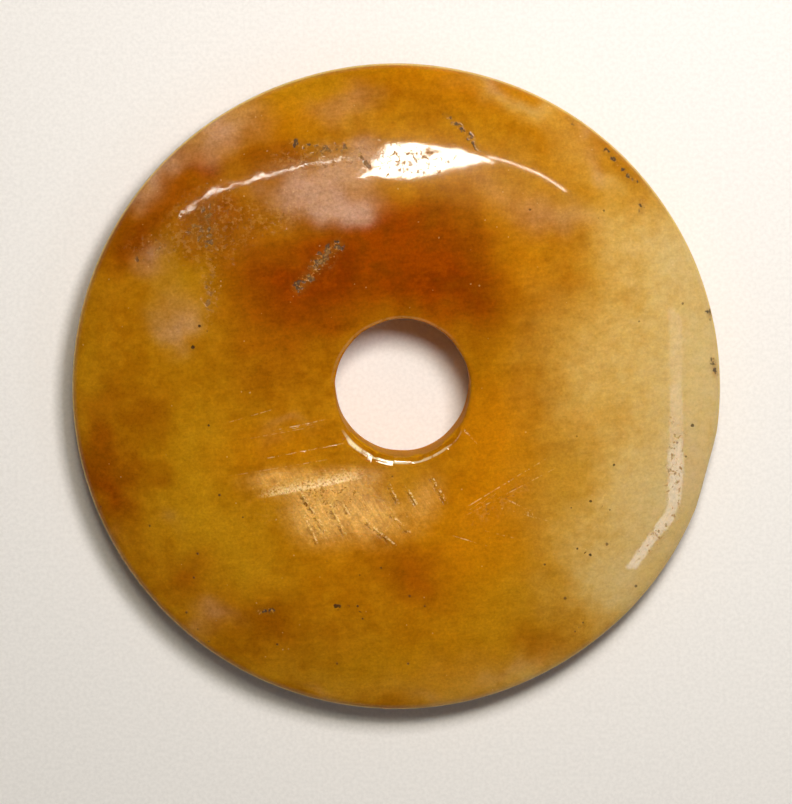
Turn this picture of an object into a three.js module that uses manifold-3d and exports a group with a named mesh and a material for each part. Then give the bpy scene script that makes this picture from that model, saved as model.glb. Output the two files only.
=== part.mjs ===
// A jade bi disc of pendant size: one round piece of honey-yellow stone, domed on both faces, with a small
// hole drilled a little off its middle. It lies on its underside, whose highest ring is worn flat.
// Millimetres, +Z up. The origin is on the surface that the disc lies on, below the middle of its outline.
import * as THREE from 'three';
import { mergeVertices } from 'three/addons/utils/BufferGeometryUtils.js';
import Module from 'manifold-3d';

// The whole disc
const DIAMETER = 50;
const THICKNESS = 7.2; // from the crown of one face to the crown of the other
const CROWN_DIAMETER = 24; // each face is highest on this ring, and falls to the edge and to the hole
const EDGE_RADIUS = 1.1; // the outer edge is a full round of this radius
const SEAT_WIDTH = 3; // the underside is worn flat this wide, along its crown

// The hole
const HOLE_DIAMETER = 10.7;
const HOLE_DISH = 0.45; // each face lies this much lower at the hole than at its crown
const HOLE_SHIFT = new THREE.Vector2(0.45, 0.2); // from the middle of the outline to the middle of the hole
const HOLE_ARRIS = 0.4; // the sharp edge of the hole is eased by this much

// Wear: a flat on the outer edge, and chips along the upper edge of the hole
const EDGE_FLAT_DEPTH = 0.2;
const EDGE_FLAT_ANGLE = -15; // in degrees from +X, anticlockwise seen from above, as for the chips
const HOLE_CHIPS = [
  { angle: -122, length: 2.0, bite: 0.32 },
  { angle: -101, length: 1.9, bite: 0.22 },
  { angle: -46, length: 2.3, bite: 0.18 },
];

// Fineness
const FACETS_ROUND = 84; // facets round the disc
const ARC_DIVISIONS = 3; // each arc of the section gets twice this many straight steps
const CHIP_FACETS = 24;

const HOLE_RADIUS = HOLE_DIAMETER / 2;
const CROWN_RADIUS = CROWN_DIAMETER / 2;
const CROWN_HEIGHT = THICKNESS / 2; // above the middle plane
const MOUTH_HEIGHT = CROWN_HEIGHT - HOLE_DISH; // of a face at the hole, above the middle plane

const wasm = await Module();
wasm.setup();

// A closed geometry as a solid for joining and cutting.
function solidFrom(geometry) {
  const bare = geometry.clone();
  bare.deleteAttribute('normal');
  bare.deleteAttribute('uv');
  const merged = mergeVertices(bare, 1e-4);
  return new wasm.Manifold(
    new wasm.Mesh({
      numProp: 3,
      vertProperties: new Float32Array(merged.attributes.position.array),
      triVerts: new Uint32Array(merged.index.array),
    }),
  );
}

// A solid as a geometry with flat-shaded faces.
function geometryFrom(solid) {
  const mesh = solid.getMesh();
  const geometry = new THREE.BufferGeometry();
  geometry.setAttribute('position', new THREE.BufferAttribute(mesh.vertProperties, mesh.numProp));
  geometry.setIndex(new THREE.BufferAttribute(mesh.triVerts, 1));
  const faces = geometry.toNonIndexed();
  faces.computeVertexNormals();
  return faces;
}

// A closed section of (radius, height) points, turned about +Z.
function turned(section) {
  return new THREE.LatheGeometry(section, FACETS_ROUND).rotateX(Math.PI / 2);
}

// The radius of the arc that is level at the crown and runs into the round edge without a corner. The arc and
// the round touch from inside, so their centres are apart by the difference of their radii.
function outerArcRadius(landRadius) {
  const run = DIAMETER / 2 - EDGE_RADIUS - landRadius;
  const rise = CROWN_HEIGHT;
  return (run ** 2 + rise ** 2 - EDGE_RADIUS ** 2) / (2 * (rise - EDGE_RADIUS));
}

// The radius of the arc that is level at the crown and has fallen by the dish where it meets the hole.
function innerArcRadius(landRadius) {
  const run = landRadius - HOLE_RADIUS;
  return (run ** 2 + HOLE_DISH ** 2) / (2 * HOLE_DISH);
}

// The ring's section. It starts inside the hole to be drilled, goes out along the lower face, round the edge
// and back over the upper face, and closes on itself.
function ringSection() {
  const pilot = HOLE_RADIUS / 2;
  const edgeCentre = DIAMETER / 2 - EDGE_RADIUS;
  const seatInner = CROWN_RADIUS - SEAT_WIDTH / 2;
  const seatOuter = CROWN_RADIUS + SEAT_WIDTH / 2;
  const lowerInner = innerArcRadius(seatInner);
  const lowerOuter = outerArcRadius(seatOuter);
  const upperInner = innerArcRadius(CROWN_RADIUS);
  const upperOuter = outerArcRadius(CROWN_RADIUS);
  const up = Math.PI / 2;
  const down = -Math.PI / 2;
  const lowerStart = -Math.acos((pilot - seatInner) / lowerInner);
  const lowerTangent = -Math.atan2(lowerOuter - CROWN_HEIGHT, edgeCentre - seatOuter);
  const upperTangent = Math.atan2(upperOuter - CROWN_HEIGHT, edgeCentre - CROWN_RADIUS);
  const upperEnd = Math.acos((pilot - CROWN_RADIUS) / upperInner);

  const section = new THREE.Path();
  section.absarc(seatInner, lowerInner - CROWN_HEIGHT, lowerInner, lowerStart, down, false);
  section.absarc(seatOuter, lowerOuter - CROWN_HEIGHT, lowerOuter, down, lowerTangent, false);
  section.absarc(edgeCentre, 0, EDGE_RADIUS, lowerTangent, upperTangent, false);
  section.absarc(CROWN_RADIUS, CROWN_HEIGHT - upperOuter, upperOuter, upperTangent, up, false);
  section.absarc(CROWN_RADIUS, CROWN_HEIGHT - upperInner, upperInner, up, upperEnd, false);
  section.closePath();
  return section.getPoints(ARC_DIVISIONS);
}

// What the drill takes away: the bore, and a 45 degree mouth at each face that eases the sharp edge.
function drill() {
  const beyond = THICKNESS; // runs this far past each mouth
  const mouth = MOUTH_HEIGHT - HOLE_ARRIS;
  const section = [
    new THREE.Vector2(0, -MOUTH_HEIGHT - beyond),
    new THREE.Vector2(HOLE_RADIUS + HOLE_ARRIS + beyond, -MOUTH_HEIGHT - beyond),
    new THREE.Vector2(HOLE_RADIUS, -mouth),
    new THREE.Vector2(HOLE_RADIUS, mouth),
    new THREE.Vector2(HOLE_RADIUS + HOLE_ARRIS + beyond, MOUTH_HEIGHT + beyond),
    new THREE.Vector2(0, MOUTH_HEIGHT + beyond),
  ];
  return turned(section).translate(HOLE_SHIFT.x, HOLE_SHIFT.y, 0);
}

// The scoop of one chip: a ball that bites into the upper edge of the hole from the open corner above it.
function chipScoop({ angle, length, bite }) {
  const radius = (length ** 2 / 4 + bite ** 2) / (2 * bite);
  const inwards = (radius - bite) * Math.SQRT1_2;
  const heading = THREE.MathUtils.degToRad(angle);
  const reach = HOLE_RADIUS + HOLE_ARRIS / 2 - inwards;
  return new THREE.SphereGeometry(radius, CHIP_FACETS, CHIP_FACETS / 2).translate(
    HOLE_SHIFT.x + reach * Math.cos(heading),
    HOLE_SHIFT.y + reach * Math.sin(heading),
    MOUTH_HEIGHT - HOLE_ARRIS / 2 + inwards,
  );
}

// The block that is rubbed off the outer edge.
function edgeFlat() {
  const side = DIAMETER / 2;
  return new THREE.BoxGeometry(side, side, 2 * THICKNESS)
    .translate(DIAMETER / 2 - EDGE_FLAT_DEPTH + side / 2, 0, 0)
    .rotateZ(THREE.MathUtils.degToRad(EDGE_FLAT_ANGLE));
}

function jadeDisc() {
  let stone = solidFrom(turned(ringSection()));
  stone = stone.subtract(solidFrom(drill()));
  stone = stone.subtract(solidFrom(edgeFlat()));
  for (const chip of HOLE_CHIPS) {
    stone = stone.subtract(solidFrom(chipScoop(chip)));
  }
  const jade = new THREE.MeshStandardMaterial({ color: 0xc07c1a, roughness: 0.25, metalness: 0 });
  const disc = new THREE.Mesh(geometryFrom(stone), jade);
  disc.name = 'jade_disc';
  disc.position.z = CROWN_HEIGHT;
  return disc;
}

const biDisc = new THREE.Group();
biDisc.add(jadeDisc());

export default biDisc;
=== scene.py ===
import math

import bpy
import numpy as np
from mathutils import Matrix, Vector


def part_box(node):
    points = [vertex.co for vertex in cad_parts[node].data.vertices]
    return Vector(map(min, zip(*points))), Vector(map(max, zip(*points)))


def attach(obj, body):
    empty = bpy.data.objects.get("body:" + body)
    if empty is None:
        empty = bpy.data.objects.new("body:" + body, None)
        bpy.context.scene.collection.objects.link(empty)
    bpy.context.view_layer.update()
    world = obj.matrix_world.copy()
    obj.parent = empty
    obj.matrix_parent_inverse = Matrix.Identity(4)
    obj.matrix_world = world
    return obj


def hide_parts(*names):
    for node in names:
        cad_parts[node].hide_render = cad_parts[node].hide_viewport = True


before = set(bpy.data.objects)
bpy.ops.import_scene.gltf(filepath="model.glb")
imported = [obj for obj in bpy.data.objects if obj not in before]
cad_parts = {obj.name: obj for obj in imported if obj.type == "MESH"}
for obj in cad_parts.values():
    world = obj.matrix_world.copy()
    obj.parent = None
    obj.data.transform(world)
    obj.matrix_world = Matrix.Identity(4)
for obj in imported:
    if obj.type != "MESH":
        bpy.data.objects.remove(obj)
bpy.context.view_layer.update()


# The camera
# The disc is seen almost square on and through a long lens. The camera leans a little towards the disc's far
# side, so that a thin slice of the near wall of the hole shows. Places here are in metres.
MM = 0.001
PICTURE_SIZE = Vector((792, 804))
DISC_IN_PICTURE = Vector((396.25, 387.6))  # the pixel at which the middle of the disc shows
PIXELS_PER_METRE = 12956
SENSOR_WIDTH = 0.036
CAMERA_SIDE = Vector((-0.008, 0.084, 0.996)).normalized()
CAMERA_DISTANCE = 0.45

node_low, node_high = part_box("jade_disc")
disc_middle = (Vector(node_low) + Vector(node_high)) / 2
camera_right = Vector((0, 1, 0)).cross(CAMERA_SIDE).normalized()
camera_up = CAMERA_SIDE.cross(camera_right)
off_middle = (DISC_IN_PICTURE - PICTURE_SIZE / 2) / PIXELS_PER_METRE
aim = disc_middle - camera_right * off_middle.x + camera_up * off_middle.y

camera = bpy.data.objects.new("camera", bpy.data.cameras.new("camera"))
camera.data.sensor_width = SENSOR_WIDTH / MM
camera.data.lens = SENSOR_WIDTH * CAMERA_DISTANCE * PIXELS_PER_METRE / max(PICTURE_SIZE) / MM
camera.matrix_world = Matrix.Translation(aim + CAMERA_SIDE * CAMERA_DISTANCE) @ (
    Matrix((camera_right, camera_up, CAMERA_SIDE)).transposed().to_4x4()
)
bpy.context.scene.collection.objects.link(camera)
bpy.context.scene.camera = camera


# The stone
# The whole disc is one piece of honey-yellow jade. It was sawn, ground to a dome on both faces, drilled and
# polished by hand, which left grooves beside the hole, fine scratches and a ragged rim. Places are in
# millimetres from the middle of the outline, heights from the middle plane, and named angles in degrees.
OUTER_RADIUS = (node_high[0] - node_low[0]) / 2 / MM
CROWN_HEIGHT = (node_high[2] - node_low[2]) / 2 / MM
CROWN_RADIUS = 12.0
EDGE_RADIUS = 1.1
EDGE_CENTRE = OUTER_RADIUS - EDGE_RADIUS
SEAT_WIDTH = 3.0
HOLE_RADIUS = 5.35
HOLE_DISH = 0.45  # each face lies this much lower at the hole than at its crown
HOLE_SHIFT = np.array([0.45, 0.2])
HOLE_TIGHTER = 0.03  # the wall stands this far inside its radius all round
HOLE_OUT_OF_ROUND = 0.14  # and this much further along X
HOLE_RIPPLES = [(5, 0.012, 1.0), (9, 0.010, 0.0), (14, 0.008, 2.0)]  # each: count round it, height, phase
NEAR_ARRIS = 0.4  # how much the edge of the hole is eased on the near side
FAR_ARRIS = 0.12  # and on the far side
EDGE_FLAT_DEPTH = 0.2
EDGE_FLAT_ANGLE = -15
OUTLINE_WEAR = 0.03  # how far the outer edge falls short of its circle where it is worn most
EDGE_BAND = 0.8  # the outer edge's own finish, and the glow painted on it, fade in over this width
LONG_WAVES, SHORT_WAVES = 0.005, 0.0022  # heights of the uneven polish
CUT_LEAN = 0.2  # how far the middle of the broad cut lies to one side, in half widths
# Each chip along the upper edge of the hole: its angle, its length and how deep it bites
HOLE_CHIPS = [
    (-112, 0.5, 0.07),
    (-46, 0.8, 0.05),
    (-78, 0.5, 0.03),
]
# Flakes off the rim of the hole: the angles between which each runs, its width, and its depth at either end
RIM_FLAKES = [
    (-139, -113, 0.40, 0.115, 0.010),
    (-111, -97, 0.22, 0.030, 0.010),
    (-53, -42, 0.20, 0.020, 0.010),
]
FLAKE_SLOPE = 0.10  # how fast a flake deepens towards the hole
# A painted highlight on the lip of the hole, where the lamp catches its rim: an angle, and there its
# strength, how far its middle lies outside the eased edge, and its half width
LIP_HIGHLIGHT_BANDS = [
    (-146, 0.0, 0.03, 0.10),
    (-139, 0.4, 0.06, 0.12),
    (-134, 1.0, 0.14, 0.19),
    (-116, 1.0, 0.10, 0.16),
    (-112, 0.8, 0.03, 0.12),
    (-85, 0.6, 0.03, 0.11),
    (-60, 0.45, 0.03, 0.10),
    (-42, 0.3, 0.03, 0.10),
    (-35, 0.0, 0.03, 0.10),
    (30, 0.0, 0.03, 0.10),
    (60, 0.08, 0.03, 0.10),
    (150, 0.08, 0.03, 0.10),
    (180, 0.0, 0.03, 0.10),
]
# Grooves, ground by hand beside the hole: x, y of one end, x, y of the other, half width, depth
GROOVES = [
    (-7.5, -7.9, -6.5, -9.4, 0.13, 0.060),
    (-6.7, -9.1, -5.6, -10.9, 0.13, 0.060),
    (-7.3, -9.5, -6.2, -11.8, 0.11, 0.040),
    (-5.3, -8.7, -4.1, -11.1, 0.12, 0.050),
    (-4.6, -8.3, -3.7, -9.7, 0.12, 0.050),
    (-2.5, -10.1, -1.2, -11.2, 0.13, 0.055),
    (-1.4, -11.0, -0.2, -12.0, 0.12, 0.050),
    (-0.7, -7.3, 0.0, -8.7, 0.12, 0.050),
    (0.5, -7.3, 1.4, -8.8, 0.12, 0.050),
    (-0.6, -9.6, 0.9, -11.0, 0.12, 0.040),
    (2.5, -6.7, 3.7, -8.7, 0.13, 0.030),
]
# Fine scratches, in the same order
SCRATCHES = [
    (-10.3, -5.2, -4.0, -4.0, 0.06, 0.012),
    (-13.0, -2.4, -9.2, -1.3, 0.05, 0.008),
    (-9.4, -3.0, -5.5, -2.2, 0.05, 0.010),
    (-12.8, -6.5, -5.0, -5.2, 0.05, 0.007),
    (-11.8, -3.7, -6.2, -2.7, 0.05, 0.006),
    (4.4, -9.5, 11.6, -5.1, 0.06, 0.012),
    (5.4, -9.5, 12.2, -5.9, 0.05, 0.010),
    (8.6, -8.4, 10.3, -9.2, 0.07, 0.014),
    (9.5, -9.4, 11.6, -10.0, 0.06, 0.012),
    (4.3, -11.1, 6.9, -11.9, 0.06, 0.012),
    (6.6, -10.7, 9.0, -11.3, 0.06, 0.010),
    (-3.0, 17.0, 1.5, 17.6, 0.05, 0.008),
    (5.2, -3.0, 6.2, -4.1, 0.09, 0.020),
]
CUT = (-11.4, -7.9, -3.6, -6.3, 0.55, 0.040)  # the broad cut beyond the grooves
STREAK_HIGHLIGHT = (-10.2, -7.8, -2.9, -6.4, 0.38, 1.0)  # a painted highlight along the wall of the cut, where the lamp's light shows: a strength in place of a depth

# The fineness of the mesh: points round the disc, then rows, which lie closer together out to FINE_RADIUS
AROUND = 720
FINE_STEP, FINE_RADIUS, COARSE_ROWS = 0.11, 13.0, 34
LOWER_ROWS, EDGE_ROWS, ARRIS_ROWS, BORE_ROWS = 13, 10, 6, 4

angles = np.linspace(0, 2 * np.pi, AROUND, endpoint=False)
spokes = np.stack([np.cos(angles), np.sin(angles)], axis=-1)


def arcs(land_inner, land_outer):
    """The radii of the two arcs of a face that is level between its land rings. The inner arc falls by the
    dish on its way to the hole, so its radius is (run squared + dish squared) / twice the dish. The outer arc
    touches the round edge from inside, so its radius is (run squared + rise squared - edge squared) / twice
    (rise - edge)."""
    inner_run = land_inner - HOLE_RADIUS
    outer_run = EDGE_CENTRE - land_outer
    inner = (inner_run**2 + HOLE_DISH**2) / (2 * HOLE_DISH)
    outer = (outer_run**2 + CROWN_HEIGHT**2 - EDGE_RADIUS**2) / (2 * (CROWN_HEIGHT - EDGE_RADIUS))
    return inner, outer


def face_height(xy, land_inner, land_outer):
    """The height of a face over places in the plane: the crown's height less what each arc has fallen. That
    is its radius - the root of (radius squared - run squared), with the run counted from its land ring."""
    inner, outer = arcs(land_inner, land_outer)
    radius = np.linalg.norm(xy, axis=-1)
    inner_run = np.clip(land_inner - radius, 0, None)
    outer_run = np.clip(radius - land_outer, 0, None)
    fall = inner - np.sqrt(inner**2 - inner_run**2) + outer - np.sqrt(outer**2 - outer_run**2)
    return CROWN_HEIGHT - fall


def edge_tangent(land_outer):
    """The angle above the middle plane at which the round edge runs into the outer arc of a face: the slope
    of the line from the arc's centre to the round's."""
    outer = arcs(CROWN_RADIUS, land_outer)[1]
    return math.atan2(outer - CROWN_HEIGHT, EDGE_CENTRE - land_outer)


arris = (NEAR_ARRIS + FAR_ARRIS) / 2 - (NEAR_ARRIS - FAR_ARRIS) / 2 * np.sin(angles)
ripple = sum(height * np.sin(waves * angles + phase) for waves, height, phase in HOLE_RIPPLES)
hole_radius = HOLE_RADIUS - HOLE_OUT_OF_ROUND * np.cos(angles) ** 2 - HOLE_TIGHTER + ripple


def rim_radius(land_inner, land_outer):
    """How far from the middle of the hole its 45 degree mouth meets the face, for each spoke. That is where
    the mouth is as high as the face, found by stepping towards it."""
    mouth = CROWN_HEIGHT - HOLE_DISH - arris
    radius = hole_radius + arris
    for _ in range(12):
        face = face_height(HOLE_SHIFT + radius[:, None] * spokes, land_inner, land_outer)
        radius = hole_radius + face - mouth
    return radius


def face_rows(shares, land_inner, land_outer):
    """Rows of a face. Each blends the rim of the hole with the circle where the round edge starts, by its
    share, and has the face's height there."""
    tangent = edge_tangent(land_outer)
    rim = HOLE_SHIFT + rim_radius(land_inner, land_outer)[:, None] * spokes
    circle = (EDGE_CENTRE + EDGE_RADIUS * math.cos(tangent)) * spokes
    share = shares[:, None, None]
    xy = (1 - share) * rim + share * circle
    return np.dstack([xy, face_height(xy, land_inner, land_outer)])


def edge_rows(tilts):
    """Rows of the round edge: a circle about its centre line, at each angle above the middle plane."""
    tilt = tilts[:, None, None]
    xy = (EDGE_CENTRE + EDGE_RADIUS * np.cos(tilt)) * spokes
    height = np.broadcast_to(EDGE_RADIUS * np.sin(tilt), xy.shape[:2] + (1,))
    return np.concatenate([xy, height], axis=-1)


def bore_rows(shares):
    """Rows of the bore: the hole's outline, each at its share of the height at which the bore ends."""
    xy = np.broadcast_to(HOLE_SHIFT + hole_radius[:, None] * spokes, (len(shares), AROUND, 2))
    return np.dstack([xy, shares[:, None] * (CROWN_HEIGHT - HOLE_DISH - arris)])


def rounded(rim, bore, count):
    """Rows of an eased edge between the rim of a face and the end of the bore, without those two. They follow
    a quarter turn, level at the rim and upright at the bore. The share of the way is the sine of the turn in
    the plane, and 1 less its cosine in height."""
    turn = np.linspace(0, np.pi / 2, count + 1)[1:-1, None, None]
    share = np.dstack([np.sin(turn), np.sin(turn), 1 - np.cos(turn)])
    return rim + (bore - rim) * share


upper_lands = (CROWN_RADIUS, CROWN_RADIUS)
lower_lands = (CROWN_RADIUS - SEAT_WIDTH / 2, CROWN_RADIUS + SEAT_WIDTH / 2)
fine_radii = np.arange(HOLE_RADIUS + NEAR_ARRIS, FINE_RADIUS, FINE_STEP)
row_radii = np.concatenate([fine_radii, np.linspace(FINE_RADIUS, EDGE_CENTRE, COARSE_ROWS)])
upper_shares = (row_radii - row_radii[0]) / (row_radii[-1] - row_radii[0])

upper = face_rows(upper_shares[::-1], *upper_lands)
lower = face_rows(np.linspace(0, 1, LOWER_ROWS), *lower_lands) * [1, 1, -1]
lowest_tilt, highest_tilt = -edge_tangent(lower_lands[1]), edge_tangent(upper_lands[1])
outer_edge = edge_rows(np.linspace(lowest_tilt, highest_tilt, EDGE_ROWS)[1:-1])
bore = bore_rows(np.linspace(1, -1, BORE_ROWS))
grid = np.concatenate([
    lower,
    outer_edge,
    upper,
    rounded(upper[-1], bore[0], ARRIS_ROWS),
    bore,
    rounded(lower[0], bore[-1], ARRIS_ROWS)[::-1],
])
upper_start = len(lower) + len(outer_edge)
bore_start = upper_start + len(upper) + ARRIS_ROWS - 1
upper_side = np.zeros((len(grid), 1))
upper_side[upper_start:bore_start] = 1
drilled = np.zeros((len(grid), AROUND))
drilled[bore_start - 1:] = 1


def wander(places, wavelength, seed, waves=14):
    """A smooth random field, mostly between -1 and 1. It is the sum of sine waves of about one wavelength,
    which run in random directions through space, divided by the root of their number."""
    random = np.random.default_rng(seed)
    ways = random.normal(size=(waves, 3))
    ways /= np.linalg.norm(ways, axis=1, keepdims=True)
    lengths = wavelength * random.uniform(0.7, 1.5, waves)
    phases = random.uniform(0, 2 * np.pi, waves)
    turns = places @ (ways * 2 * np.pi / lengths[:, None]).T + phases
    return np.sin(turns).sum(axis=-1) / math.sqrt(waves)


def of_nearest(gap, values):
    """Of values that differ from mark to mark, the one of the mark with the smallest gap, for every place."""
    nearest = gap.argmin(axis=-1)[..., None]
    return np.take_along_axis(np.broadcast_to(values, gap.shape), nearest, axis=-1)[..., 0]


def stroke_frame(x, y, strokes, reach):
    """For every place, how far across the nearest stroke it lies, in half widths and signed, and how much
    that stroke counts there. That is its depth times (0.3 + 5 times the share of its length to its nearer
    end), held between 0 and 1. It fades to nothing from half of reach away until reach."""
    x0, y0, x1, y1, half_width, depth = np.array(strokes).T
    length = np.hypot(x1 - x0, y1 - y0)
    way_x, way_y = (x1 - x0) / length, (y1 - y0) / length
    from_x, from_y = x[..., None] - x0, y[..., None] - y0
    along = (from_x * way_x + from_y * way_y) / length
    across = from_y * way_x - from_x * way_y
    beyond = np.clip(np.abs(along - 0.5) - 0.5, 0, None) * length
    gap = np.hypot(across, beyond)
    ends = np.clip(5 * of_nearest(gap, np.minimum(along, 1 - along)) + 0.3, 0, 1)
    near = np.clip(2 - 2 * of_nearest(gap, gap) / reach, 0, 1)
    return of_nearest(gap, across / half_width), of_nearest(gap, depth) * ends * near


def trough(across):
    """The section of a groove: (1 - across squared) to the power of 1.5, and 0 from one half width away."""
    return np.clip(1 - across**2, 0, None) ** 1.5


# Wear and handwork: an uneven outline, the flat on the edge, grooves, uneven polish, flakes and chips
outline = np.hypot(grid[..., 0], grid[..., 1])
worn = OUTLINE_WEAR * np.clip(wander(grid * [1, 1, 0], 14, seed=3), -1, 0) * (outline / OUTER_RADIUS) ** 4
grid[..., :2] *= (1 + worn / np.maximum(outline, 1))[..., None]
flat_turn = math.radians(EDGE_FLAT_ANGLE)
flat_way = np.array([math.cos(flat_turn), math.sin(flat_turn)])
over = np.clip(grid[..., :2] @ flat_way - (OUTER_RADIUS - EDGE_FLAT_DEPTH), 0, None)
grid[..., :2] -= over[..., None] * flat_way

x, y = grid[..., 0], grid[..., 1]
groove_across, groove_depth = stroke_frame(x, y, GROOVES, reach=0.5)
scratch_across, scratch_depth = stroke_frame(x, y, SCRATCHES, reach=0.5)
cut_across, cut_depth = stroke_frame(x, y, [CUT], reach=1.5)
broken = 0.55 + 0.45 * wander(grid, 0.7, seed=8)
unevenness = np.clip(0.3 - x / 45, 0.08, 0.6)  # the left half is polished less evenly than the right half
pressed = groove_depth * trough(groove_across) * np.clip(broken, 0.15, 1)
pressed += cut_depth * trough(cut_across + CUT_LEAN)
pressed += LONG_WAVES * unevenness * wander(grid, 3.0, seed=5)
pressed += SHORT_WAVES * unevenness * wander(grid, 1.1, seed=6)
from_hole = np.hypot(x - HOLE_SHIFT[0], y - HOLE_SHIFT[1]) - hole_radius
round_hole = np.degrees(np.arctan2(y - HOLE_SHIFT[1], x - HOLE_SHIFT[0]))
for start, end, width, start_depth, end_depth in RIM_FLAKES:
    share = (round_hole - start) / (end - start)
    inwards = width + arris - from_hole
    flaked = (share > 0) & (share < 1) & (inwards > 0)
    pressed += flaked * (start_depth + (end_depth - start_depth) * share + FLAKE_SLOPE * inwards)
grid[..., 2] -= np.clip(pressed, 0, None) * upper_side

lip_angles, lip_strengths, lip_middles, lip_widths = np.array(LIP_HIGHLIGHT_BANDS).T
lip_strength = np.interp(round_hole, lip_angles, lip_strengths) * upper_side
lip_across = from_hole - arris - np.interp(round_hole, lip_angles, lip_middles)
lip_across /= np.interp(round_hole, lip_angles, lip_widths)

for angle, length, bite in HOLE_CHIPS:
    ball = (length**2 / 4 + bite**2) / (2 * bite)
    inwards = (ball - bite) / math.sqrt(2)
    reach = HOLE_RADIUS + NEAR_ARRIS / 2 - inwards
    turn = math.radians(angle)
    middle = np.array([
        HOLE_SHIFT[0] + reach * math.cos(turn),
        HOLE_SHIFT[1] + reach * math.sin(turn),
        CROWN_HEIGHT - HOLE_DISH - NEAR_ARRIS / 2 + inwards,
    ])
    spoke = grid - middle
    distance = np.linalg.norm(spoke, axis=-1, keepdims=True)
    grid = np.where(distance < ball, middle + spoke * ball / distance, grid)

row, column = np.meshgrid(np.arange(len(grid)), np.arange(AROUND), indexing="ij")
next_row, next_column = (row + 1) % len(grid), (column + 1) % AROUND
corners = [(row, column), (row, next_column), (next_row, next_column), (next_row, column)]
quads = np.stack([rows * AROUND + columns for rows, columns in corners], axis=-1).reshape(-1, 4)
stone_mesh = bpy.data.meshes.new("jade_stone")
stone_mesh.from_pydata((grid.reshape(-1, 3) * MM + np.array(disc_middle)).tolist(), [], quads.tolist())
stone_mesh.shade_smooth()


# The colours of the stone
# Iron has stained the honey-coloured stone rust brown in places, it fades to straw on one side, and cloudy
# pinkish patches lie in it. The mesh keeps where they lie. The lists give a patch's x, y, half length, half
# width, turn in degrees and strength.
RUST_PATCHES = [
    (-5.6, 9.2, 6.6, 3.4, 6, 0.97),
    (-8.8, 6.0, 4.6, 3.2, 20, 0.60),
    (-9.4, 1.2, 3.6, 3.4, 0, 0.30),
    (2.2, 8.6, 4.6, 3.6, -12, 0.90),
    (5.6, 7.2, 3.2, 3.0, -30, 0.65),
    (-0.5, 12.6, 4.6, 2.4, 0, 0.75),
    (5.0, 11.6, 3.4, 2.4, -20, 0.55),
    (-5.4, 5.6, 2.6, 2.0, 0, 0.45),
    (-14.0, 13.2, 3.4, 2.2, 30, 0.70),
    (-17.8, 14.4, 5.2, 1.5, 42, 0.68),
    (-20.6, 11.2, 2.2, 1.6, 50, 0.55),
    (-14.8, 17.2, 2.2, 1.1, 0, 0.60),
    (-9.2, 17.7, 2.4, 1.4, 0, 0.55),
    (-22.9, -3.3, 1.6, 3.2, 0, 0.60),
    (-21.9, -8.0, 1.9, 2.8, 22, 0.74),
    (-19.0, -1.6, 2.0, 1.5, 0, 0.35),
    (-18.6, -6.6, 1.0, 0.9, 0, 0.35),
    (-16.1, -14.4, 2.3, 2.0, 0, 0.50),
    (-9.9, -18.3, 3.6, 2.2, -20, 0.45),
    (0.5, 22.6, 6.0, 1.8, -3, 0.20),
    (-20.8, 13.0, 1.6, 4.0, 35, 0.25),
    (-10.5, 10.5, 2.6, 2.6, 0, 0.40),
    (6.5, 7.0, 3.5, 3.5, 0, 0.22),
    (-21.6, 6.4, 2.0, 3.6, 0, 0.16),
    (-4.0, -19.7, 3.5, 2.4, 0, 0.15),
    (0.0, -13.7, 3.2, 2.0, 0, 0.40),
    (1.6, -14.8, 2.4, 1.8, 0, 0.42),
    (4.6, -18.2, 3.2, 2.4, 0, 0.05),
    (10.9, -19.4, 2.0, 1.6, -30, 0.30),
]
AMBER_PATCHES = [
    (18.4, 13.6, 0.8, 0.9, 0, 0.80),
    (13.8, -1.8, 0.6, 0.42, 0, 0.95),
    (11.2, -21.2, 0.30, 1.4, -22, 0.95),
    (7.4, -3.3, 2.8, 4.0, -15, 0.85),
    (6.8, -8.8, 3.6, 2.6, 25, 0.85),
    (6.0, -12.6, 5.2, 2.4, 0, 0.55),
    (9.6, 9.4, 3.6, 4.0, 0, 0.45),
    (3.5, -15.0, 5.0, 6.0, 0, 0.35),
    (-4.5, -13.5, 5.0, 4.0, 0, 0.30),
    (4.0, -22.0, 6.0, 2.4, 6, 0.35),
    (5.6, 23.2, 8.0, 1.6, -12, 0.60),
    (13.3, 19.4, 3.6, 2.4, -42, 0.50),
    (-8.9, -4.3, 4.2, 1.8, 8, 0.45),
    (-16.6, 15.6, 2.6, 1.4, 35, 0.45),
    (-8.6, 20.8, 3.4, 2.0, 20, 0.45),
]
STRAW_PATCHES = [
    (25.5, 0.0, 6.6, 14.0, 0, 0.97),
    (21.0, -9.5, 7.0, 7.0, 25, 0.75),
    (17.0, 3.0, 5.0, 7.5, 0, 0.45),
    (12.6, 1.6, 3.4, 6.0, 0, 0.25),
    (21.0, 10.0, 4.0, 5.0, 25, 0.60),
    (14.5, -12.5, 4.5, 5.0, 30, 0.30),
    (11.6, -22.2, 5.0, 1.6, 25, 0.45),
    (7.2, 22.8, 3.0, 1.2, -14, 0.35),
    (10.8, 21.6, 3.0, 1.2, -28, 0.40),
    (13.8, 18.6, 2.2, 1.6, -45, 0.30),
    (16.0, 16.4, 1.8, 1.4, -50, 0.30),
    (15.0, 13.4, 3.4, 1.8, -20, 0.30),
    (17.4, -14.6, 4.4, 3.0, 45, 0.45),
    (9.6, 17.0, 3.2, 2.0, -30, 0.20),
    (5.5, -22.6, 6.0, 2.2, 12, 0.26),
    (-5.0, -22.8, 6.0, 2.0, -12, 0.12),
    (17.0, -16.0, 3.0, 3.0, 0, 0.40),
    (22.5, -7.0, 2.2, 5.0, 15, 0.40),
]
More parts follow.
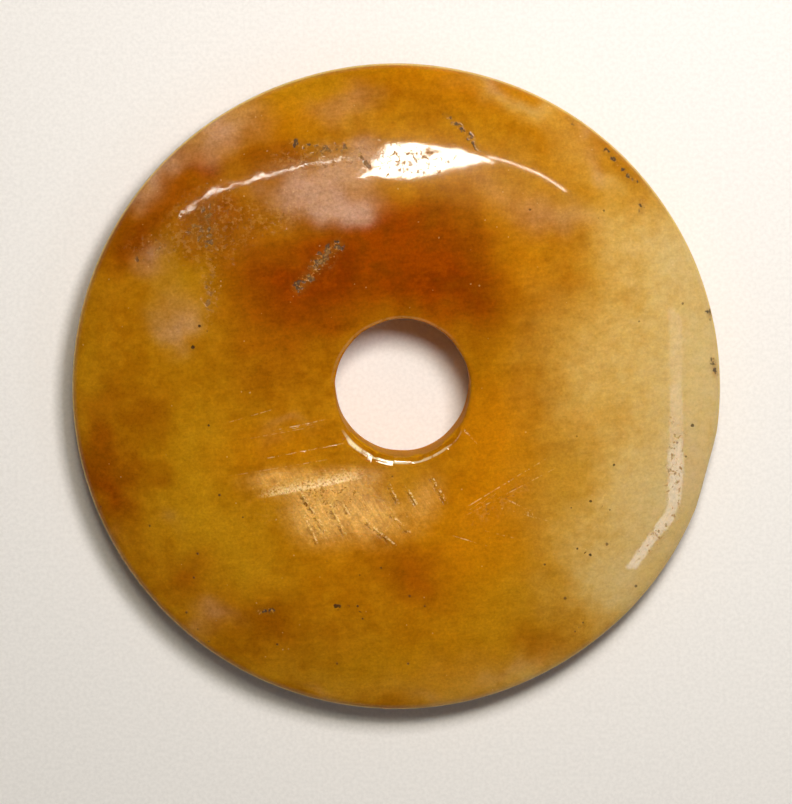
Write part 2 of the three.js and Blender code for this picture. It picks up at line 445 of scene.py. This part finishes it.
YELLOW_PATCHES = [
    (-17.0, 9.0, 2.4, 3.0, 0, 0.80),
    (-16.6, 4.6, 2.2, 2.8, 0, 0.60),
    (-15.8, -6.4, 3.0, 6.0, 0, 0.75),
    (-12.8, -12.2, 5.4, 3.2, -30, 0.65),
    (-2.4, -21.0, 7.0, 2.2, 0, 0.60),
    (9.2, -15.0, 4.4, 4.0, 0, 0.75),
    (6.5, -19.5, 3.6, 2.6, 0, 0.60),
    (13.0, -8.0, 3.6, 5.0, 0, 0.50),
    (0.0, -22.6, 9.0, 1.8, 0, 0.45),
    (-7.3, 23.4, 6.0, 1.5, 15, 0.60),
    (-24.0, 2.6, 1.6, 6.0, 0, 0.45),
    (-12.0, 1.4, 3.0, 3.6, 0, 0.30),
    (7.6, 5.4, 1.6, 3.0, 0, 0.25),
]
CLOUD_PATCHES = [
    (-5.6, 14.4, 3.3, 1.7, -8, 0.66),
    (-6.6, 16.0, 3.0, 1.4, 10, 0.70),
    (-3.6, 13.8, 1.9, 1.5, 0, 0.75),
    (-2.8, 17.5, 2.2, 1.5, 0, 0.55),
    (-13.4, 19.9, 3.2, 2.1, 28, 0.56),
    (-18.4, 16.2, 2.6, 1.0, 48, 0.58),
    (-18.8, 10.4, 1.6, 1.2, 30, 0.45),
    (-17.2, 6.0, 2.0, 3.0, 12, 0.25),
    (-16.4, 4.4, 1.3, 1.6, 0, 0.35),
    (-4.0, 21.8, 2.8, 1.6, 0, 0.28),
    (7.1, 23.4, 1.4, 0.7, -15, 0.35),
    (10.0, 22.3, 1.8, 0.6, -25, 0.25),
    (15.4, 17.4, 1.0, 1.0, 0, 0.35),
    (14.3, 19.1, 0.7, 0.6, 0, 0.30),
    (12.5, 13.2, 4.6, 1.8, -20, 0.22),
    (6.4, 16.2, 3.0, 1.6, -15, 0.15),
    (-14.2, -17.6, 1.6, 1.2, 0, 0.32),
    (-17.1, -9.6, 1.1, 1.1, 0, 0.20),
    (-21.5, -11.5, 1.0, 1.0, 0, 0.15),
    (9.1, -22.0, 3.4, 0.8, 22, 0.25),
    (3.2, -23.4, 2.6, 0.7, 8, 0.20),
    (-5.7, -23.8, 2.5, 0.6, -12, 0.20),
    (-8.6, -3.2, 2.4, 0.8, 8, 0.20),
    (22.8, -5.6, 1.8, 4.4, 10, 0.30),
    (12.0, 13.6, 5.0, 1.4, -18, 0.14),
]
GROUND_PATCHES = [
    (-6.2, -9.6, 2.4, 2.2, -40, 0.70),
    (-2.4, -9.4, 3.2, 2.2, -20, 0.60),
    (2.3, -8.4, 1.6, 2.4, -20, 0.32),
    (-9.6, -6.6, 2.6, 0.8, 8, 0.45),
    (-5.6, -7.0, 4.0, 0.9, 8, 0.60),
]
GRAINY_PATCHES = [
    (-14.4, 12.6, 3.2, 2.6, 20, 0.95),
    (-14.2, 7.6, 0.7, 3.0, 0, 0.70),
    (-6.0, 17.8, 3.6, 1.0, 6, 0.90),
    (1.0, 17.6, 3.4, 1.2, 0, 0.90),
    (-9.0, 13.4, 2.0, 1.2, 0, 0.60),
    (-18.6, 11.0, 2.6, 1.0, 0, 0.50),
    (-5.9, 9.6, 2.6, 0.8, 48, 0.60),
    (8.0, -8.6, 3.6, 1.0, 32, 0.50),
    (-6.0, -8.2, 5.0, 2.2, 8, 0.60),
    (21.4, -6.0, 0.9, 4.6, 0, 0.60),
    (19.8, -11.6, 2.4, 0.8, 50, 0.60),
]
# Dark mineral lines: x, y of one end, x, y of the other, half width and strength
VEINS = [
    (-7.8, 7.6, -6.5, 9.1, 0.42, 0.85),
    (-6.5, 9.1, -5.5, 10.5, 0.45, 1.00),
    (-5.5, 10.5, -4.1, 11.5, 0.40, 0.80),
    (-8.3, 19.1, -6.4, 18.5, 0.30, 0.65),
    (-6.4, 18.5, -5.0, 18.5, 0.40, 0.95),
    (-5.0, 18.7, -2.9, 18.5, 0.26, 0.65),
    (3.6, 21.2, 5.3, 19.8, 0.18, 0.70),
    (5.3, 19.8, 6.5, 18.2, 0.20, 0.85),
    (15.7, 18.7, 17.3, 17.0, 0.16, 0.75),
    (17.3, 17.0, 18.5, 15.8, 0.17, 0.80),
    (18.8, 14.8, 18.8, 13.4, 0.18, 0.90),
    (12.9, 21.0, 13.8, 20.3, 0.18, 0.60),
    (24.4, 2.4, 24.6, 0.8, 0.22, 0.85),
    (24.0, 6.1, 24.2, 5.3, 0.20, 0.75),
    (23.1, 10.2, 23.4, 9.4, 0.18, 0.60),
    (-10.8, -17.1, -9.4, -17.0, 0.20, 1.00),
    (-14.4, 9.2, -14.4, 6.0, 0.26, 0.30),
    (-15.9, 12.5, -13.8, 11.1, 0.50, 0.75),
    (-15.0, 13.2, -13.9, 14.6, 0.45, 0.75),
    (-14.9, 12.8, -14.4, 11.5, 0.45, 0.80),
    (-20.2, 9.8, -17.3, 11.6, 0.30, 0.28),
]
# Pits filled with dark polish: x, y, radius and strength
PITS = [
    (-2.4, 17.5, 0.20, 0.70),
    (-2.1, 17.2, 0.16, 0.70),
    (-2.7, 17.9, 0.15, 0.60),
    (-15.1, 5.0, 0.12, 1.0),
    (-15.6, 3.4, 0.15, 1.0),
    (-4.7, -16.6, 0.16, 1.0),
    (-4.4, -16.6, 0.14, 0.9),
    (-3.0, -16.6, 0.09, 0.9),
    (-2.6, -17.6, 0.08, 0.8),
    (-15.3, -12.6, 0.10, 0.8),
    (-19.0, -10.5, 0.09, 0.7),
    (-13.6, -8.0, 0.11, 0.8),
    (-14.4, -2.6, 0.10, 0.9),
    (-15.6, -14.5, 0.10, 0.7),
    (-16.2, -17.3, 0.10, 0.7),
    (-9.2, -19.7, 0.09, 0.8),
    (-11.8, -9.7, 0.08, 0.7),
    (-1.2, -13.6, 0.10, 0.7),
    (1.0, -15.8, 0.10, 0.7),
    (14.9, -8.5, 0.11, 0.9),
    (16.7, -5.7, 0.10, 0.9),
    (13.4, -9.0, 0.08, 0.7),
    (16.4, -9.2, 0.08, 0.6),
    (13.9, -12.2, 0.10, 0.9),
    (14.9, -12.7, 0.11, 1.0),
    (11.4, -13.4, 0.10, 0.8),
    (16.2, -11.9, 0.12, 0.7),
    (22.8, -2.8, 0.14, 0.9),
    (22.3, -5.2, 0.10, 0.7),
    (21.6, -4.1, 0.08, 0.6),
    (18.5, -15.3, 0.11, 0.8),
    (13.0, -16.1, 0.11, 0.7),
    (14.4, -18.1, 0.08, 0.7),
    (13.8, -18.8, 0.08, 0.7),
    (22.0, 6.6, 0.09, 0.7),
    (18.6, 5.3, 0.08, 0.6),
    (15.9, 13.8, 0.09, 0.7),
    (10.2, 13.9, 0.09, 0.7),
    (0.9, -21.2, 0.10, 0.7),
    (-4.6, -21.2, 0.09, 0.6),
]


def patch_share(x, y, patches):
    """How far each place lies in a set of oval patches. A patch counts by its strength times a bell, e to
    minus the square of the distance in half lengths and half widths. Together they are 1 less what all
    leave."""
    left = np.ones(x.shape)
    for middle_x, middle_y, half_length, half_width, turn, strength in patches:
        cos, sin = math.cos(math.radians(turn)), math.sin(math.radians(turn))
        along = ((x - middle_x) * cos + (y - middle_y) * sin) / half_length
        across = ((y - middle_y) * cos - (x - middle_x) * sin) / half_width
        left *= 1 - strength * np.exp(-(along**2) - across**2)
    return 1 - left


def pit_frame(x, y, pits, reach):
    """For every place, the way from the middle of the nearest pit in radii, and how much that pit counts
    there. That is its strength, which fades from half of reach away until reach."""
    middle_x, middle_y, radius, strength = np.array(pits).T
    from_x, from_y = x[..., None] - middle_x, y[..., None] - middle_y
    gap = np.hypot(from_x, from_y)
    near = np.clip(2 - 2 * of_nearest(gap, gap) / reach, 0, 1)
    radii_x, radii_y = of_nearest(gap, from_x / radius), of_nearest(gap, from_y / radius)
    return radii_x, radii_y, of_nearest(gap, strength) * near


def keep(name, *fields):
    """Keeps one field, or up to three as a vector, in the mesh, for the material to read."""
    if len(fields) == 1:
        stone_mesh.attributes.new(name, "FLOAT", "POINT").data.foreach_set("value", fields[0].ravel())
        return
    padded = list(fields) + [np.zeros(fields[0].shape)] * (3 - len(fields))
    values = np.stack(padded, axis=-1).ravel()
    stone_mesh.attributes.new(name, "FLOAT_VECTOR", "POINT").data.foreach_set("vector", values)


flowed_x = x + 0.5 * wander(grid, 5.0, seed=11) + 0.25 * wander(grid, 1.8, seed=12)
flowed_y = y + 0.5 * wander(grid, 5.0, seed=13) + 0.25 * wander(grid, 1.8, seed=14)
keep("rust", patch_share(flowed_x, flowed_y, RUST_PATCHES))
keep("amber", patch_share(x, y, AMBER_PATCHES))
keep("straw", patch_share(flowed_x, flowed_y, STRAW_PATCHES))
keep("yellow", patch_share(flowed_x, flowed_y, YELLOW_PATCHES))
keep("cloud", patch_share(flowed_x, flowed_y, CLOUD_PATCHES))
keep("edge", np.clip((outline - OUTER_RADIUS) / EDGE_BAND + 1, 0, 1))
keep("drilled", drilled)
keep("ground", patch_share(x, y, GROUND_PATCHES) * upper_side)
keep("grainy", patch_share(x, y, GRAINY_PATCHES))
keep("groove", groove_across, groove_depth * upper_side)
keep("scratch", scratch_across, scratch_depth * upper_side)
keep("lip", lip_across, lip_strength)
keep("streak_highlight", *stroke_frame(x, y, [STREAK_HIGHLIGHT], reach=1.6))
keep("vein", *stroke_frame(x, y, VEINS, reach=1.0))
keep("pit", *pit_frame(x, y, PITS, reach=1.0))


class Wire:
    """An output socket in a node tree. Arithmetic on wires and numbers adds Math nodes to the tree."""

    def __init__(self, tree, socket=None):
        self.tree = tree
        self.socket = socket

    def add(self, kind, settings, sockets, output=0):
        """Adds a node: first its settings, then the value or wire of each of its sockets."""
        node = self.tree.nodes.new(kind)
        for name, setting in settings.items():
            setattr(node, name, setting)
        for name, value in sockets.items():
            if isinstance(value, Wire):
                self.tree.links.new(value.socket, node.inputs[name])
            else:
                node.inputs[name].default_value = value
        return Wire(self.tree, node.outputs[output])

    def maths(self, operation, *values):
        """Adds a Math node. Called on a wire with no values, it works on that wire."""
        return self.add("ShaderNodeMath", {"operation": operation}, dict(enumerate(values or (self,))))

    def __add__(self, other):
        return self.maths("ADD", self, other)

    def __sub__(self, other):
        return self.maths("SUBTRACT", self, other)

    def __rsub__(self, other):
        return self.maths("SUBTRACT", other, self)

    def __mul__(self, other):
        return self.maths("MULTIPLY", self, other)

    def __rpow__(self, other):
        return self.maths("POWER", other, self)

    __radd__ = __add__
    __rmul__ = __mul__

    def ramp(self, start, end):
        """0 up to start and 1 from end on, with a smooth rise between them. Where end is below start, it is 1
        up to end and 0 from start on, with a smooth fall."""
        if end < start:
            return 1 - self.ramp(end, start)
        sockets = {"Value": self, "From Min": start, "From Max": end}
        return self.add("ShaderNodeMapRange", {"interpolation_type": "SMOOTHSTEP"}, sockets)

    def mix(self, first, second, blend="MIX", share=None):
        """A share of the second colour over the first: this wire's, or a number."""
        settings = {"data_type": "RGBA", "blend_type": blend}
        sockets = {0: self if share is None else share, 6: first, 7: second}
        return self.add("ShaderNodeMix", settings, sockets, output=2)

    def end(self, kind, socket, value):
        """Adds the node that the tree ends in, fed by one wire."""
        self.tree.links.new(value.socket, self.tree.nodes.new(kind).inputs[socket])


def colour(red, green, blue):
    """A colour given as it shows on a screen, from 0 to 255, as the shader's linear numbers. A share of 255
    up to 0.04045 is divided by 12.92, and a larger one is (share + 0.055) / 1.055 to the power of 2.4."""
    shares = np.array([red, green, blue]) / 255
    linear = np.where(shares <= 0.04045, shares / 12.92, ((shares + 0.055) / 1.055) ** 2.4)
    return (*linear.tolist(), 1.0)


HONEY_DEEP = colour(165, 102, 4)
HONEY_PALE = colour(184, 123, 14)
RUST = colour(148, 64, 0)
RUST_DEEP = colour(128, 50, 0)
AMBER = colour(200, 122, 3)
STRAW = colour(207, 179, 120)
STRAW_DEEP = colour(203, 157, 64)
YELLOW = colour(188, 138, 18)
CLOUD = colour(198, 156, 128)
GROUND_PALE_AND_SHEEN = colour(238, 180, 84)
EDGE_GLOW = colour(232, 198, 112)
BORE = colour(198, 130, 8)
MINERAL = colour(66, 56, 44)
MINERAL_PALE = colour(206, 148, 70)
VEIN_STAIN = colour(146, 98, 34)
PIT_DARK = colour(60, 40, 18)
PORE_DARK_AND_GROOVE_SHADE = colour(112, 66, 6)
# The colour of the painted glints and highlights
GLINT_HIGHLIGHT = colour(255, 220, 150)
LIP_HIGHLIGHT = colour(255, 238, 190)
STONE_IOR = 1.6
POLISHED_ROUGHNESS = 0.05
GROUND_ROUGHNESS = 0.30  # what the ground places add
HAZE_WEIGHT = 0.07
HAZE_ROUGHNESS = 0.22
MATT_ROUGHNESS = 0.8
MATT_SPECULAR = 0.1
GLINT_CELLS = 4.5  # to the millimetre, as for the stray pits
STRAY_PIT_CELLS = 1.2
SCATTER_WEIGHT = 0.35
SCATTER_RADIUS = (1.0, 0.42, 0.10)
SCATTER_DEPTH = 1.6 * MM

jade = bpy.data.materials.new("jade")
jade.use_nodes = True
jade.node_tree.nodes.clear()
tree = Wire(jade.node_tree)
place = tree.add("ShaderNodeTexCoord", {}, {}, output="Object")
place = tree.add("ShaderNodeMapping", {}, {0: place, "Scale": (1 / MM, 1 / MM, 1 / MM)})


def kept(name):
    """A field that the mesh keeps."""
    return tree.add("ShaderNodeAttribute", {"attribute_name": name}, {}, output="Fac")


def kept_parts(name):
    """The three fields that the mesh keeps as one vector."""
    vector = tree.add("ShaderNodeAttribute", {"attribute_name": name}, {}, output="Vector")
    return [tree.add("ShaderNodeSeparateXYZ", {}, {0: vector}, output=part) for part in range(3)]


def noise(scale, detail=3.0, roughness=0.55, offset=0.0, along=None):
    """Noise of about 0 to 1 over the stone, with scale in cycles to the millimetre. Where along is given, an
    angle in degrees, it is drawn out to five times its length in that direction."""
    moved = tree.add("ShaderNodeMapping", {}, {0: place, "Location": (offset, offset, offset)})
    if along is not None:
        moved = tree.add("ShaderNodeMapping", {}, {0: moved, "Rotation": (0, 0, -math.radians(along))})
        moved = tree.add("ShaderNodeMapping", {}, {0: moved, "Scale": (0.2, 1, 1)})
    sockets = {"Vector": moved, "Scale": scale, "Detail": detail, "Roughness": roughness}
    return tree.add("ShaderNodeTexNoise", {}, sockets)


def cells(scale, output, offset=0.0):
    """Cells over the stone: the distance to the nearest cell's middle, or that cell's random number."""
    moved = tree.add("ShaderNodeMapping", {}, {0: place, "Location": (offset, offset, offset)})
    found = tree.add("ShaderNodeTexVoronoi", {}, {"Vector": moved, "Scale": scale}, output=output)
    if output == "Color":
        return tree.add("ShaderNodeSeparateColor", {}, {0: found})
    return found


clouding = noise(0.22, detail=3)
mottle = noise(1.1, detail=4, roughness=0.6, offset=7)
grain = noise(4.2, detail=2, roughness=0.6, offset=3)
fleck = noise(3.0, detail=3, roughness=0.75, offset=17)
sanded = noise(6.5, detail=1, offset=31)
blots = noise(2.4, detail=1, roughness=0.4, offset=23)
ground_streaks = noise(3.2, detail=3, roughness=0.7, offset=51, along=-58)
polish_streaks = noise(2.6, detail=3, roughness=0.7, offset=61, along=8)
rust = kept("rust")
straw = kept("straw")
ground = kept("ground")
grainy = kept("grainy")
near_edge = kept("edge")
bored = kept("drilled")

# Broad colours, which fade into each other, with borders that the noise makes uneven
uneven = (clouding - 0.5) * 0.4 + (mottle - 0.5) * 0.5 + 1.0
body = (clouding + (mottle - 0.5) * 0.5).ramp(0.30, 0.70).mix(HONEY_DEEP, HONEY_PALE)
body = (kept("yellow") * uneven * 0.8).mix(body, YELLOW)
body = (kept("amber") * uneven * 0.9).mix(body, AMBER)
body = (straw * uneven).ramp(0.0, 0.7).mix(body, STRAW_DEEP)
body = (straw * uneven).ramp(0.3, 1.05).mix(body, STRAW)
rusty = (mottle + (clouding - 0.5)).ramp(0.34, 0.70).mix(RUST_DEEP, RUST)
body = (rust * uneven * 1.1).mix(body, rusty)
body = ((kept("cloud") * (uneven + (grain - 0.5) * 0.25)).ramp(0.02, 1.0) * 0.85).mix(body, CLOUD)
# The ground places are painted paler: partly their own paler ground-down stone, partly a painted sheen of the
# lamp on them
rubbed_and_sheen = ground * (ground_streaks * 0.7 + mottle * 1.2)
body = (rubbed_and_sheen.ramp(0.05, 0.80) * 0.85).mix(body, GROUND_PALE_AND_SHEEN)
# Painted glow: a pale band along the outer edge, standing for light that shines through the translucent rim
body = (near_edge.ramp(0.76, 0.95) * 0.85).mix(body, EDGE_GLOW)
body = bored.mix(body, BORE)

# Fine mottling and flecks
fine = (grain - 0.5) * 0.55 + (sanded - 0.5) * 0.30 + (polish_streaks - 0.5) * 0.45
shade = fine * (1.0 - straw * 0.5) + (mottle - 0.5) * 0.20 + 1.0
shade = shade + (fleck - 0.5) * (grainy * 1.3 + 0.1) + (ground_streaks - 0.5) * ground * 0.8
grey = tree.add("ShaderNodeCombineColor", {}, {0: shade, 1: shade, 2: shade})
body = tree.mix(body, grey, blend="MULTIPLY", share=1.0)

# Painted light: golden glints and sparkle, the streak of lamp light on the cut's wall and the highlight on
# the lip of the hole; with the dark specks of the ground places
glint_cell = cells(GLINT_CELLS, "Color", offset=5)
glint_gap = cells(GLINT_CELLS, "Distance", offset=5)
glint_room = grainy * 0.05 + rust * 0.006 + 0.003
painted_glints = (glint_cell - 1.0 + glint_room).ramp(-0.001, 0.001)
painted_glints = painted_glints * (glint_gap + (fleck - 0.5) * 0.8).ramp(0.36, 0.16)
specks = ground_streaks * 0.5 + sanded * 0.5
painted_sparkle = specks.ramp(0.54, 0.66) * ground.ramp(0.2, 0.9)
dust = specks.ramp(0.46, 0.34) * ground.ramp(0.2, 0.9)
body = (painted_glints * 0.22 + painted_sparkle * 0.50).mix(body, GLINT_HIGHLIGHT)
body = (dust * 0.25).mix(body, PORE_DARK_AND_GROOVE_SHADE)
# Painted highlight: a golden-white streak of lamp light along the wall of the cut
streak_side, streak_strength, _ = kept_parts("streak_highlight")
streak_highlight = streak_side.ramp(-1.2, -0.7) * (streak_side + (fleck - 0.5) * 6.0).ramp(2.0, -0.8)
streak_highlight = streak_highlight * streak_strength * (sanded * 0.5 + fleck * 0.5).ramp(0.40, 0.56)
body = (streak_highlight * 0.90).mix(body, GLINT_HIGHLIGHT)
# Painted highlight: a pale golden-white band on the lip of the hole, where the lamp catches its rim
lip_side, lip_shown, _ = kept_parts("lip")
lip = lip_side.maths("ABSOLUTE").ramp(1.2, 0.5) * (mottle + (fleck - 0.5) * 0.5).ramp(0.30, 0.50)
body = (lip * lip_shown * 0.85).mix(body, LIP_HIGHLIGHT)

# Dark minerals, pits and pores
vein_across, vein_strength, _ = kept_parts("vein")
vein_room = vein_strength * math.e ** (vein_across * vein_across * -0.8)
veins = (blots + (fleck - 0.5) * 0.35 + vein_room * 0.15).ramp(0.60, 0.72) * vein_room.ramp(0.05, 0.3)
pale_veins = (grain + vein_room * 0.14).ramp(0.66, 0.72) * vein_room.ramp(0.05, 0.3)
body = (vein_room * 0.45).mix(body, VEIN_STAIN)
body = (veins * 0.85).mix(body, MINERAL)
body = (pale_veins * 0.4).mix(body, MINERAL_PALE)
pit_x, pit_y, pit_strength = kept_parts("pit")
pit_gap = pit_x * pit_x + pit_y * pit_y + (fleck - 0.5) * 3.0
placed_pits = pit_gap.ramp(1.3, 0.5) * pit_strength
stray_pits = cells(STRAY_PIT_CELLS, "Color", offset=2).ramp(0.965, 0.968)
stray_pits = stray_pits * cells(STRAY_PIT_CELLS, "Distance", offset=2).ramp(0.12, 0.06)
pores = (fleck + grainy * 0.12).ramp(0.65, 0.70) * grainy.ramp(0.1, 0.5)
pale_flecks = (blots + (fleck - 0.5) * 1.2 + grainy * 0.06).ramp(0.54, 0.76) * grainy.ramp(0.1, 0.6)
body = (grainy * mottle.ramp(0.3, 0.7) * 0.30).mix(body, VEIN_STAIN)
body = (pale_flecks * 0.34).mix(body, MINERAL_PALE)
body = (placed_pits * 0.9).mix(body, PIT_DARK)
body = (stray_pits * 0.5).mix(body, PIT_DARK)
body = (pores * 0.5).mix(body, PORE_DARK_AND_GROOVE_SHADE)

# Grooves and scratches. The grooves' cores get painted shade and one side of each a painted highlight; the
# scratches are painted paler
groove_side, groove_deep, _ = kept_parts("groove")
scratch_side, scratch_deep, _ = kept_parts("scratch")
gaps = noise(1.4, detail=4, roughness=0.7, offset=9).ramp(0.42, 0.56)
scratch_line = (scratch_side * scratch_side).ramp(1.0, 0.0) * gaps * fleck.ramp(0.42, 0.52)
groove_shown = (groove_deep * 40.0).ramp(0.0, 1.0)
groove_core_shade = (groove_side * groove_side).ramp(1.3, 0.0) * groove_shown * fleck.ramp(0.48, 0.60)
groove_side_highlight = (groove_side - 1.7).maths("ABSOLUTE").ramp(1.0, 0.3) * groove_shown
# Painted shade in the core of each groove, and a painted highlight along one side of it
body = (groove_core_shade * 0.60).mix(body, PORE_DARK_AND_GROOVE_SHADE)
body = (groove_side_highlight * fleck.ramp(0.44, 0.56) * sanded.ramp(0.40, 0.54) * 0.65).mix(body, GLINT_HIGHLIGHT)
# The scratches are painted in the glint colour: partly their own paler stone, partly a painted glint of the
# lamp along them
body = (scratch_line * (scratch_deep * 70.0).ramp(0.0, 1.0) * 0.38).mix(body, GLINT_HIGHLIGHT)

# Relief, in millimetres: uneven polish, more so on the left, less what pits, veins and lines take away
left_side = tree.add("ShaderNodeSeparateXYZ", {}, {0: place}).ramp(4.0, -8.0)
wobble = noise(1.7, detail=0, offset=41)
relief = (wobble - 0.5) * (left_side * 0.004 + 0.0006)
relief = relief + (grain - 0.5) * (grainy * 0.0025 + ground * 0.020)
relief = relief + (sanded - 0.5) * ground * 0.020 + (ground_streaks - 0.5) * ground * 0.05
relief = relief - pores * 0.05 - placed_pits * 0.06 - stray_pits * 0.03 - veins * 0.02
relief = relief - scratch_line * scratch_deep * 0.5 - groove_core_shade * groove_deep * 0.8
normal = tree.add("ShaderNodeBump", {}, {"Strength": 1.0, "Distance": MM, "Height": relief})

# The polish is sharp with a faint haze over it, and duller where the stone was ground
finish = tree.add(
    "ShaderNodeBsdfPrincipled",
    {"subsurface_method": "RANDOM_WALK"},
    {
        "Base Color": body,
        "Roughness": ground.ramp(0.0, 0.6) * GROUND_ROUGHNESS + POLISHED_ROUGHNESS,
        "IOR": STONE_IOR,
        "Normal": normal,
        "Subsurface Weight": SCATTER_WEIGHT,
        "Subsurface Radius": SCATTER_RADIUS,
        "Subsurface Scale": SCATTER_DEPTH,
        "Coat Weight": ground * 0.10 + grainy * 0.05 + HAZE_WEIGHT,
        "Coat Roughness": HAZE_ROUGHNESS,
    },
)
# The wall of the hole, the pits, pores and dark minerals and the round outer edge have no polish
matt_finish = tree.add(
    "ShaderNodeBsdfPrincipled",
    {},
    {
        "Base Color": body,
        "Roughness": MATT_ROUGHNESS,
        "Specular IOR Level": MATT_SPECULAR,
        "Normal": normal,
        "Subsurface Weight": SCATTER_WEIGHT,
        "Subsurface Radius": SCATTER_RADIUS,
        "Subsurface Scale": SCATTER_DEPTH,
    },
)
matt = bored + placed_pits + pores * 0.85 + veins * 0.7 + near_edge.ramp(0.1, 0.8) * 0.8
either = tree.add("ShaderNodeMixShader", {}, {0: matt, 1: finish, 2: matt_finish})
tree.end("ShaderNodeOutputMaterial", "Surface", either)

stone_mesh.materials.append(jade)
stone = bpy.data.objects.new("jade_stone", stone_mesh)
bpy.context.scene.collection.objects.link(stone)
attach(stone, "root")
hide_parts("jade_disc")


# The floor and the light
# The floor is plain and pale. The polish shows a lamp of three panels and a thin strip beyond the far side,
# and the soft frame of a window on the right. A nearer panel, which it doesn't show, throws the shadows. All
# are level, with places and sizes in shares of a panel's height: the slopes at which the disc sees it.
FLOOR_SIZE = 3.0
FLOOR_GAP = 0.00002  # below the disc's flat seat
FLOOR_DARK = colour(233, 228, 221)
FLOOR_LIGHT = colour(243, 238, 231)
FLOOR_ROUGHNESS = 0.85
FLOOR_GRAIN = 3.6  # cycles to the millimetre
PANEL_HEIGHT = 1.0
LAMP_TINT = (1.0, 0.97, 0.84)
LAMP_RADIANCE = 30
KEY_HEIGHT = 0.16
KEY_TINT = (1.0, 0.98, 1.0)
KEY_RADIANCE = 38
SKY_TINT = (0.92, 0.96, 1.0, 1.0)
SKY_STRENGTH = 0.08
# The pieces of the strip: middle, length and turn in degrees
STRIP_WIDTH = 0.0042
STRIP_RADIANCE = 40
STRIPS = [
    ((-0.540, 0.414), 0.130, 19),
    ((-0.405, 0.423), 0.200, -7),
    ((-0.215, 0.397), 0.235, -5),
    ((0.292, 0.444), 0.140, -7),
    ((0.392, 0.421), 0.090, -23),
]
# The pieces of the window's frame: middle, length, turn in degrees and radiance
WINDOW_WIDTH = 0.115
WINDOW_TINT = (0.82, 0.88, 1.0)
WINDOW_BANDS = [
    ((0.855, 0.028), 0.217, -14.7, 1.1),
    ((0.848, -0.177), 0.204, 11.9, 1.8),
    ((0.950, -0.426), 0.360, 28, 4.0),
    ((0.970, -0.595), 0.159, 110.3, 4.8),
    ((0.855, -0.682), 0.136, 146, 4.8),
]

floor_corners = np.array([(-1, -1, 0), (1, -1, 0), (1, 1, 0), (-1, 1, 0)]) * FLOOR_SIZE / 2
floor_mesh = bpy.data.meshes.new("floor")
floor_mesh.from_pydata((floor_corners - [0, 0, FLOOR_GAP]).tolist(), [], [(0, 1, 2, 3)])
pale = bpy.data.materials.new("floor")
pale.use_nodes = True
pale.node_tree.nodes.clear()
floor_tree = Wire(pale.node_tree)
floor_place = floor_tree.add("ShaderNodeTexCoord", {}, {}, output="Object")
grain_sockets = {"Vector": floor_place, "Scale": FLOOR_GRAIN / MM, "Detail": 2.0}
floor_grain = floor_tree.add("ShaderNodeTexNoise", {}, grain_sockets)
floor_colour = floor_grain.ramp(0.2, 0.8).mix(FLOOR_DARK, FLOOR_LIGHT)
finish_sockets = {"Base Color": floor_colour, "Roughness": FLOOR_ROUGHNESS}
floor_finish = floor_tree.add("ShaderNodeBsdfPrincipled", {}, finish_sockets)
floor_tree.end("ShaderNodeOutputMaterial", "Surface", floor_finish)
floor_mesh.materials.append(pale)
floor = bpy.data.objects.new("floor", floor_mesh)
bpy.context.scene.collection.objects.link(floor)


def panel(name, middle, size, radiance, turn=0.0, tint=(1.0, 1.0, 1.0), height=PANEL_HEIGHT, seen=True):
    """Adds a level light panel that faces down. Its middle and size are shares of its height, and its power
    is its radiance times its area times pi. Where it isn't seen, it still lights, but no gloss shows it."""
    light = bpy.data.lights.new(name, "AREA")
    light.shape = "RECTANGLE"
    light.size, light.size_y = size[0] * height, size[1] * height
    light.energy = radiance * math.pi * light.size * light.size_y
    light.color = tint
    lamp = bpy.data.objects.new(name, light)
    lamp.location = (middle[0] * height, middle[1] * height, height)
    lamp.rotation_euler.z = math.radians(turn)
    lamp.visible_glossy = seen
    bpy.context.scene.collection.objects.link(lamp)


panel("lamp", (0.010, 0.358), (0.080, 0.195), LAMP_RADIANCE, turn=-11, tint=LAMP_TINT)
panel("lamp_side", (0.091, 0.361), (0.225, 0.070), LAMP_RADIANCE, turn=43, tint=LAMP_TINT)
panel("lamp_top", (0.126, 0.440), (0.190, 0.022), LAMP_RADIANCE, turn=-8, tint=LAMP_TINT)
for number, (middle, length, turn) in enumerate(STRIPS, 1):
    panel(f"strip_{number}", middle, (length, STRIP_WIDTH), STRIP_RADIANCE, turn=turn, tint=LAMP_TINT)
for number, (middle, length, turn, radiance) in enumerate(WINDOW_BANDS, 1):
    panel(f"window_{number}", middle, (WINDOW_WIDTH, length), radiance, turn=turn, tint=WINDOW_TINT)
panel("key", (0.19, 0.365), (0.26, 0.30), KEY_RADIANCE, tint=KEY_TINT, height=KEY_HEIGHT, seen=False)

sky = bpy.data.worlds.new("sky")
sky.use_nodes = True
sky.node_tree.nodes["Background"].inputs["Color"].default_value = SKY_TINT
sky.node_tree.nodes["Background"].inputs["Strength"].default_value = SKY_STRENGTH
sky.cycles_visibility.glossy = False
bpy.context.scene.world = sky
bpy.context.scene.view_settings.view_transform = "Standard"
bpy.context.scene.view_settings.look = "None"
